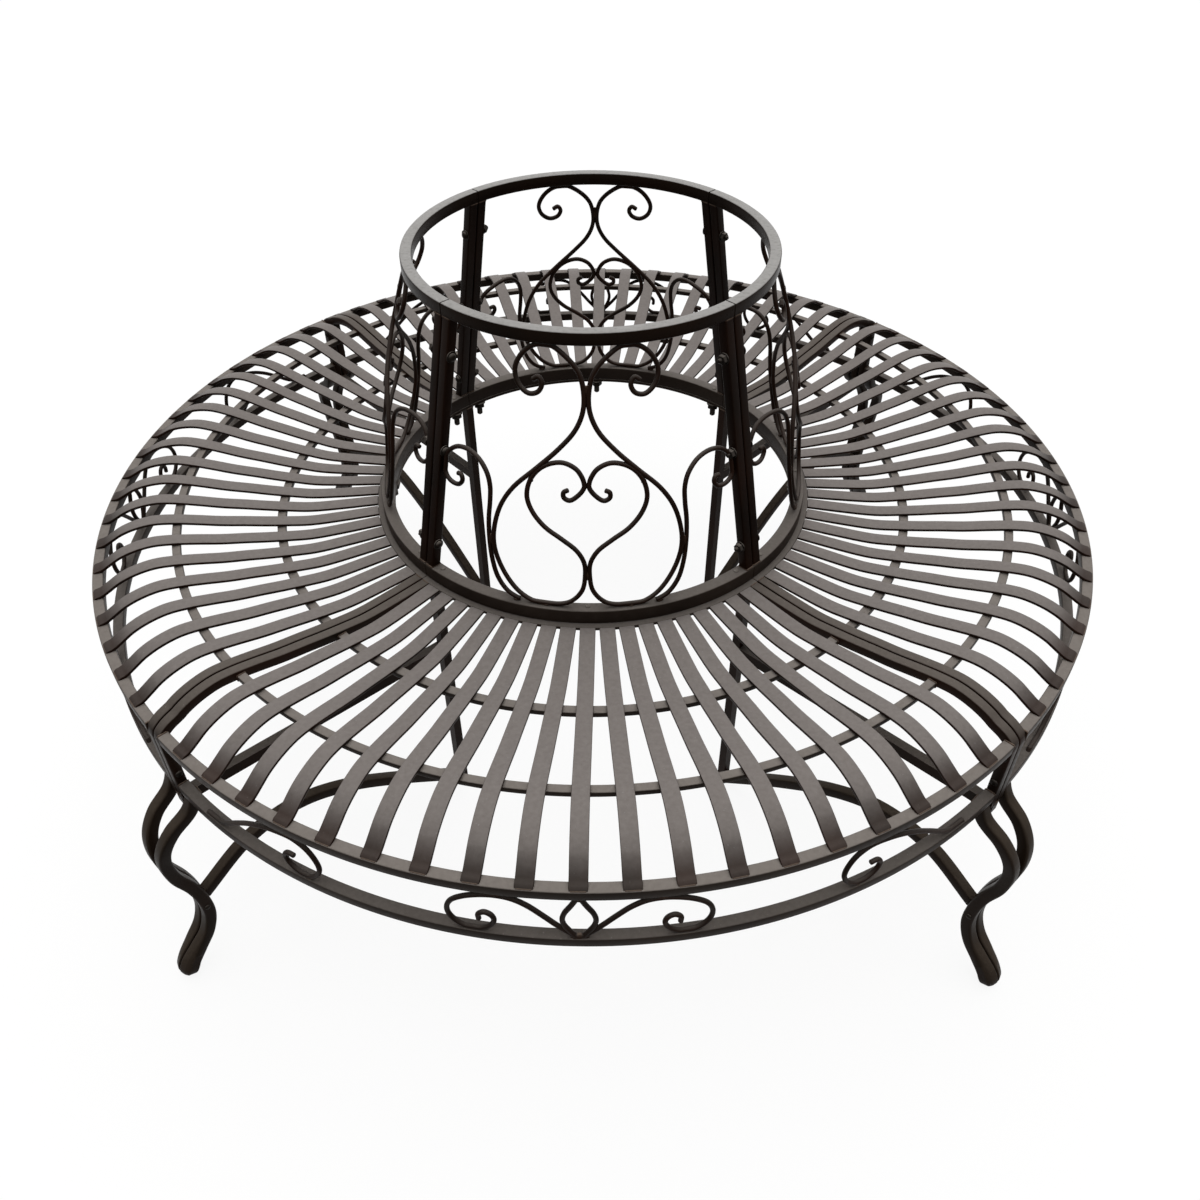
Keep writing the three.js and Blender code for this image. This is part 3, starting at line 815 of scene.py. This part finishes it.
def corner_welds(seed):
    """Welds at one corner: posts, legs, end bars, inner leg, stiles and stretcher."""
    x, y, z = np.eye(3)
    sink = 0.3
    post_half, leg_half, bar_half = POST_BAR / 2, LEG_BAR / 2 - 0.6, BAR / 2
    parts = []
    for side in (-1, 1):
        mid = side * (POST_SEAM + POST_BAR) / 2
        foot, head = (POST_FOOT_R, mid, RAIL_TOP + sink), (POST_HEAD_R, mid, TOP_LOW - sink)
        parts += weld_frame(foot, x, y, post_half, post_half - 0.8, 1.3, seed)
        parts += weld_frame(head, x, y, post_half, post_half - 0.8, 1.2, seed + 4)
        leg_head = (HEAD_R + 0.4, side * (HEAD_SPREAD - 0.4), HEAD_Z)
        parts += weld_frame(leg_head, x, y, leg_half, leg_half, 1.5, seed + 8)
        end_y = side * (REACH + sink)
        rim = (RIM_R - RIM_W / 2, end_y, RIM_TOP - RIM_D / 2)
        apron = (RIM_R - APRON_W / 2, end_y, APRON_LOW + APRON_D / 2)
        parts += weld_frame(rim, x, z, RIM_W / 2 - 1, RIM_D / 2, 1.3, seed + 12)
        parts += weld_frame(apron, x, z, APRON_W / 2 - 1, APRON_D / 2, 1.3, seed + 16)
        for which in SUPPORTS:
            radius, width, top = support_place(which)
            end = (radius, end_y, top - SUPPORT_D / 2)
            parts += weld_frame(end, x, z, width / 2, SUPPORT_D / 2, 1.1, seed + 20)
        middle, half, high = side * SPREAD, bar_half - 1.0, RING_TOP - 0.4
        start, end = (SLAT_IN, middle - half, high), (SLAT_IN, middle + half, high)
        parts.append(weld_line(start, end, 1.1, seed + 24))
    leg_top = (INNER_LEG_R, 0, RING_TOP - RING_T - 0.4)
    stile_foot = (RIM_R - END_D / 2, 0, STILE_FOOT - 0.2)
    parts += weld_frame(leg_top, x, y, bar_half, bar_half, 1.3, seed + 28)
    parts += weld_frame(stile_foot, x, y, END_D / 2 - 0.6, bar_half, 1.2, seed + 32)
    steep = bar_half / 0.77
    near = (INNER_LEG_R + bar_half + 0.2, 0, STRETCH_FOOT + 1)
    far_z = STRETCH_FOOT + (STRETCH_ARCH - STRETCH_FOOT) * STRETCHER_SHARES[-1][1]
    far = (ANKLE_R - LEG_BAR / 2 - 0.2, 0, far_z)
    parts += weld_frame(near, y, z, bar_half, steep, 1.3, seed + 36)
    parts += weld_frame(far, y, z, bar_half, steep, 1.3, seed + 40)
    return parts


def rods(lines, path_of):
    """Round rods along the lines and along their mirror images."""
    return merge([rod_along(path_of(line, side)) for line in lines for side in (-1, 1)])


QUARTERS = ["right", "rear", "left", "front"]
CORNERS = ["rear_right", "rear_left", "front_left", "front_right"]

for index, quarter in enumerate(QUARTERS):
    azimuth = index * math.pi / 2
    piece(f"{quarter}_top_rail_smooth",
          arc_bar(TOP_OUT - TOP_W, TOP_OUT, TOP_LOW, OVERALL, TOP_SEAM, 1.8),
          azimuth, [f"{quarter}_guard_top_rail"], TOP_COAT)
    piece(f"{quarter}_bottom_rail_smooth",
          arc_bar(RAIL_OUT - RAIL_W, RAIL_OUT, RAIL_LOW, RAIL_TOP, CLEAR / 2, 1.6),
          azimuth, [f"{quarter}_guard_scroll_panel"], LOW_RAIL_COAT)
    piece(f"{quarter}_guard_rods", rods((GUARD_LINE, SIDE_LINE), guard_path),
          azimuth, [f"{quarter}_guard_scroll_panel"], ROD_COAT)
    piece(f"{quarter}_guard_welds", bead_row(GUARD_WELDS, index * 50, guard_points),
          azimuth, (), WELD)
    piece(f"{quarter}_inner_ring_smooth",
          arc_bar(RING_IN, RING_OUT, RING_TOP - RING_T, RING_TOP, CLEAR / 2, 0.9),
          azimuth, [f"{quarter}_seat_inner_ring"], LOW_RAIL_COAT)
    fan = [turned(slat(), (k - (SLATS - 1) / 2) * PITCH) for k in range(SLATS)]
    piece(f"{quarter}_slats_smooth", merge(fan), azimuth, [f"{quarter}_seat_slats"], SLAT_COAT)
    piece(f"{quarter}_slat_welds", merge(slat_welds(index * 100)), azimuth, (), WELD)
    piece(f"{quarter}_rim_smooth",
          arc_bar(RIM_R - RIM_W, RIM_R, RIM_LOW, RIM_TOP, REACH + CLEAR, 1.5, 121),
          azimuth, [f"{quarter}_seat_slats"], RAIL_COAT)
    for which in SUPPORTS:
        radius, width, top = support_place(which)
        inner, outer = radius - width / 2, radius + width / 2
        piece(f"{quarter}_{which}_support_smooth",
              arc_bar(inner, outer, top - SUPPORT_D, top, REACH + CLEAR, 1.2, 91),
              azimuth, [f"{quarter}_slat_support_{which}"], RAIL_COAT)
    piece(f"{quarter}_apron_rail_smooth",
          arc_bar(RIM_R - APRON_W, RIM_R, APRON_LOW, APRON_TOP, REACH + CLEAR, 1.5, 121),
          azimuth, [f"{quarter}_apron_scroll_panel"], LOW_RAIL_COAT)
    piece(f"{quarter}_apron_rods", rods((APRON_LINE, LOZENGE_LINE, END_LINE), apron_path),
          azimuth, [f"{quarter}_apron_scroll_panel"], ROD_COAT)
    piece(f"{quarter}_apron_welds", bead_row(APRON_WELDS, index * 70, apron_point),
          azimuth, (), WELD)
    aside = CORNER - BOLT_ASIDE / (RING_IN + BOLT_INSET)
    uprights = [upright_bolt(RING_IN + BOLT_INSET, a) for a in (-aside, 0, aside)]
    piece(f"{quarter}_ring_bolts", merge(uprights), azimuth, (), BOLT)
    for end, side in (("left", 1), ("right", -1)):
        corner = azimuth - side * CORNER
        piece(f"{quarter}_end_bar_{end}_smooth", end_bar(side),
              corner, [f"{quarter}_end_bar_{end}"])
        piece(f"{quarter}_leg_{end}_smooth", leg(side),
              corner, [f"{quarter}_cabriole_leg_{end}"], LEG_COAT)
        piece(f"{quarter}_post_{end}_smooth", post(side),
              corner, [f"{quarter}_guard_post_{end}"], POST_COAT)

for index, corner_name in enumerate(CORNERS):
    azimuth = CORNER + index * math.pi / 2
    piece(f"{corner_name}_stretcher_smooth", stretcher(),
          azimuth, [f"{corner_name}_stretcher"], LEG_COAT)
    keep_node(f"{corner_name}_inner_leg")
    lean = np.array([POST_HEAD_R - POST_FOOT_R, 0, TOP_LOW - RAIL_TOP])
    foot = np.array([POST_FOOT_R, 0, RAIL_TOP])
    pair = POST_BAR + POST_SEAM / 2
    bolts = [cross_bolt(foot + lean * share, pair) for share in POST_BOLT_SHARES]
    bolts += [dome_pair((RIM_R - END_D / 2, 0, z), REACH) for z in STILE_BOLTS]
    bolts.append(dome_pair((ANKLE_R, 0, ANKLE_BOLT), SEAM / 2 + LEG_BAR, 4.2, 1.8))
    piece(f"{corner_name}_bolts", merge(bolts), azimuth, (), BOLT)
    piece(f"{corner_name}_welds", merge(corner_welds(index * 90)), azimuth, (), WELD)


# Floor, light and camera: colours are linear, lengths in metres, the camera's angles in radians
FLOOR_HALF, FLOOR_COLOUR, FLOOR_GLOW_SHARE = 30.0, (0.9, 0.9, 0.9, 1), 0.9
DIM_FLOOR = (0.06, 0.055, 0.05, 1)
ROOM_LOW, ROOM_HIGH = (0.05, 0.047, 0.045, 1), (1, 0.985, 0.965, 1)
ROOM_LOW_AT, ROOM_HIGH_AT = 0.08, 0.5
SIDES_RANGE, BEHIND_RANGE = (0.03, 0.4, 0.72, 0.32), (0.82, 0.97, 0.0, 1.2)
SUN_ENERGY, SUN_ANGLE, SUN_TILT = 2.4, 76, (-14, 3)
LENS, SENSOR = 31.892, 36.0
TURN, PITCH_DOWN, YAW, ROLL = 0.0266357, 0.7389880, 0.0075469, -0.0044266


def looked_at(tree):
    """1 for a camera, glossy or transmission ray, so that reflections show the background too."""
    light_path = tree.nodes.new("ShaderNodeLightPath")
    total = light_path.outputs["Is Camera Ray"]
    for kind in ("Is Glossy Ray", "Is Transmission Ray"):
        step = tree.nodes.new("ShaderNodeMath")
        step.operation = "MAXIMUM"
        tree.links.new(total, step.inputs[0])
        tree.links.new(light_path.outputs[kind], step.inputs[1])
        total = step.outputs[0]
    return total


def two_faced(tree, kept, seen, output_type):
    """Ends a tree in kept for the light that it throws, and in seen for what looks at it."""
    choose = tree.nodes.new("ShaderNodeMixShader")
    tree.links.new(looked_at(tree), choose.inputs["Fac"])
    tree.links.new(kept, choose.inputs[1])
    tree.links.new(seen, choose.inputs[2])
    out = tree.nodes.new(output_type)
    tree.links.new(choose.outputs[0], out.inputs["Surface"])


def studio_floor():
    """A pale floor with the object's shadow: white to the eye, dim in the light it throws back."""
    mesh = bpy.data.meshes.new("studio_floor")
    h = FLOOR_HALF
    mesh.from_pydata([(-h, -h, 0), (h, -h, 0), (h, h, 0), (-h, h, 0)], [], [(0, 1, 2, 3)])
    floor = bpy.data.objects.new("studio_floor", mesh)
    bpy.context.scene.collection.objects.link(floor)
    paper = bpy.data.materials.new("studio_paper")
    paper.use_nodes = True
    tree = paper.node_tree
    tree.nodes.clear()
    lit = tree.nodes.new("ShaderNodeBsdfDiffuse")
    lit.inputs["Color"].default_value = FLOOR_COLOUR
    white = tree.nodes.new("ShaderNodeEmission")
    white.inputs["Strength"].default_value = 1.0
    seen = tree.nodes.new("ShaderNodeMixShader")
    seen.inputs["Fac"].default_value = FLOOR_GLOW_SHARE
    tree.links.new(lit.outputs[0], seen.inputs[1])
    tree.links.new(white.outputs[0], seen.inputs[2])
    dim = tree.nodes.new("ShaderNodeBsdfDiffuse")
    dim.inputs["Color"].default_value = DIM_FLOOR
    two_faced(tree, dim.outputs[0], seen.outputs[0], "ShaderNodeOutputMaterial")
    mesh.materials.append(paper)


def studio_world():
    """A soft room: dim near the floor and at the sides, brighter overhead and behind the object.
    What looks at it sees white."""
    world = bpy.data.worlds.new("studio")
    bpy.context.scene.world = world
    world.use_nodes = True
    tree = world.node_tree
    tree.nodes.clear()
    place = tree.nodes.new("ShaderNodeTexCoord")
    split = tree.nodes.new("ShaderNodeSeparateXYZ")
    tree.links.new(place.outputs["Generated"], split.inputs[0])
    ramp = tree.nodes.new("ShaderNodeValToRGB")
    stops = ((ROOM_LOW_AT, ROOM_LOW), (ROOM_HIGH_AT, ROOM_HIGH))
    for stop, (at, colour) in zip(ramp.color_ramp.elements, stops):
        stop.position, stop.color = at, colour
    tree.links.new(split.outputs["Z"], ramp.inputs["Fac"])
    room = tree.nodes.new("ShaderNodeBackground")
    tree.links.new(ramp.outputs["Color"], room.inputs["Color"])
    across = tree.nodes.new("ShaderNodeMath")
    across.operation = "MULTIPLY"
    level = tree.nodes.new("ShaderNodeMath")
    level.operation = "ADD"
    for k in range(2):
        tree.links.new(split.outputs["X"], across.inputs[k])
    sources = ((across.outputs[0], SIDES_RANGE), (split.outputs["Y"], BEHIND_RANGE))
    for k, (source, limits) in enumerate(sources):
        node = tree.nodes.new("ShaderNodeMapRange")
        for key, value in zip(("From Min", "From Max", "To Min", "To Max"), limits):
            node.inputs[key].default_value = value
        tree.links.new(source, node.inputs["Value"])
        tree.links.new(node.outputs["Result"], level.inputs[k])
    tree.links.new(level.outputs[0], room.inputs["Strength"])
    white = tree.nodes.new("ShaderNodeBackground")
    white.inputs["Color"].default_value = (1, 1, 1, 1)
    white.inputs["Strength"].default_value = 1.0
    two_faced(tree, room.outputs[0], white.outputs[0], "ShaderNodeOutputWorld")


def overhead_lamp():
    """One wide, soft sun from above, a little behind the object."""
    data = bpy.data.lights.new("overhead_softbox", "SUN")
    data.energy = SUN_ENERGY
    data.angle = math.radians(SUN_ANGLE)
    lamp = bpy.data.objects.new("overhead_softbox", data)
    lamp.rotation_euler = (math.radians(SUN_TILT[0]), math.radians(SUN_TILT[1]), 0)
    bpy.context.scene.collection.objects.link(lamp)


def photo_camera():
    """The camera that was fitted to the photograph."""
    data = bpy.data.cameras.new("camera")
    data.lens = LENS
    data.sensor_width = SENSOR
    data.clip_start, data.clip_end = 0.05, 100
    camera = bpy.data.objects.new("camera", data)
    bpy.context.scene.collection.objects.link(camera)
    bpy.context.scene.camera = camera
    eye = Vector((0, -EYE_OUT / MM, EYE_HIGH / MM))
    level = math.cos(PITCH_DOWN)
    forward = Vector((math.sin(YAW) * level, math.cos(YAW) * level, -math.sin(PITCH_DOWN)))
    right = forward.cross(Vector((0, 0, 1))).normalized()
    up = right.cross(forward)
    right, up = (right * math.cos(ROLL) + up * math.sin(ROLL),
                 up * math.cos(ROLL) - right * math.sin(ROLL))
    aim = Matrix((right, up, -forward)).transposed().to_4x4()
    camera.matrix_world = Matrix.Rotation(TURN, 4, "Z") @ Matrix.Translation(eye) @ aim


studio_floor()
studio_world()
overhead_lamp()
photo_camera()

scene = bpy.context.scene
scene.view_settings.view_transform = "Standard"
scene.cycles.max_bounces = 6
